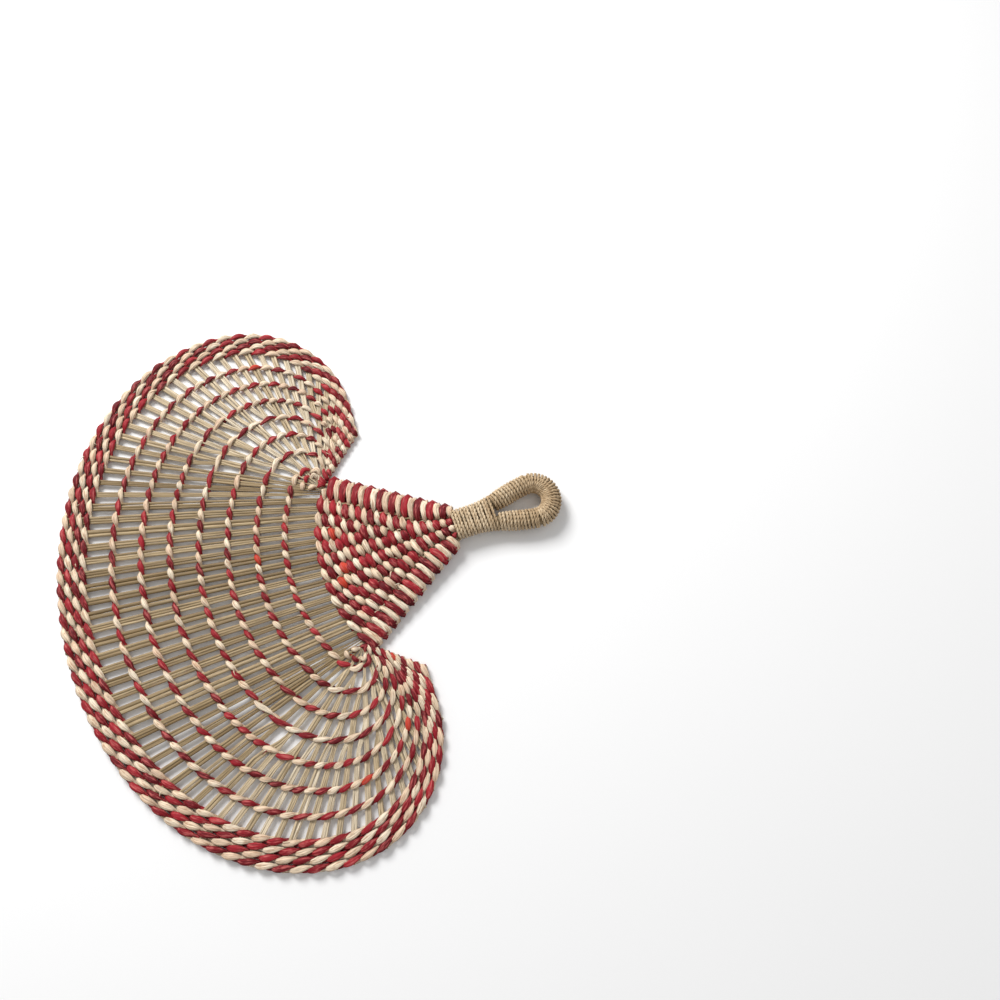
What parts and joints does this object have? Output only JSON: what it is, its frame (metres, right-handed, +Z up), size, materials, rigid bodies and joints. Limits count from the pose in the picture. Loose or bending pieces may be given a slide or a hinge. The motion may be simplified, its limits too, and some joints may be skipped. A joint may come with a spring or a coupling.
{
  "type": "woven straw hand fan",
  "caption": "Rigid hand fan of radiating straw ribs bound by two-colour twined rows, with a close twined panel, a rim and a cord-wound loop handle for holding and hanging.",
  "frame": {"origin": "middle of the fan's outline, at the level that its rim rests on", "axes": "+Y from the handle to the crown of the blade, +X across the blade, +Z up from the face that it lies on"},
  "size_m": [0.351, 0.3178, 0.0139],
  "materials": {
    "straw": "dry natural straw, satin along the stem",
    "red_strand": "dyed straw strip, satin with fine fibres",
    "natural_strand": "undyed straw strip, satin with fine fibres",
    "handle_cord": "fine twisted natural cord, matt"
  },
  "bodies": {
    "root": {"straw_column_01": "straw", "straw_column_02": "straw", "straw_column_03": "straw", "straw_column_04": "straw", "straw_column_05": "straw", "straw_column_06": "straw", "straw_column_07": "straw", "straw_column_08": "straw", "straw_column_09": "straw", "straw_column_10": "straw", "lobe_ribs_left_1": "straw", "lobe_ribs_left_2": "straw", "lobe_ribs_left_3": "straw", "lobe_ribs_left_4": "straw", "lobe_ribs_left_5": "straw", "lobe_ribs_left_6": "straw", "lobe_ribs_right_1": "straw", "lobe_ribs_right_2": "straw", "lobe_ribs_right_3": "straw", "lobe_ribs_right_4": "straw", "lobe_ribs_right_5": "straw", "lobe_ribs_right_6": "straw", "panel_weft_red": "red_strand", "panel_weft_natural": "natural_strand", "open_row_1_red": "red_strand", "open_row_1_natural": "natural_strand", "open_row_2_red": "red_strand", "open_row_2_natural": "natural_strand", "open_row_3_red": "red_strand", "open_row_3_natural": "natural_strand", "open_row_4_red": "red_strand", "open_row_4_natural": "natural_strand", "open_row_5_red": "red_strand", "open_row_5_natural": "natural_strand", "open_row_6_red": "red_strand", "open_row_6_natural": "natural_strand", "open_row_7_red": "red_strand", "open_row_7_natural": "natural_strand", "rim_row_1_red": "red_strand", "rim_row_1_natural": "natural_strand", "rim_row_2_red": "red_strand", "rim_row_2_natural": "natural_strand", "rim_row_3_red": "red_strand", "rim_row_3_natural": "natural_strand", "rim_row_4_red": "red_strand", "rim_row_4_natural": "natural_strand", "handle_loop": "straw", "handle_cord": "handle_cord"}
  },
  "joints": []
}
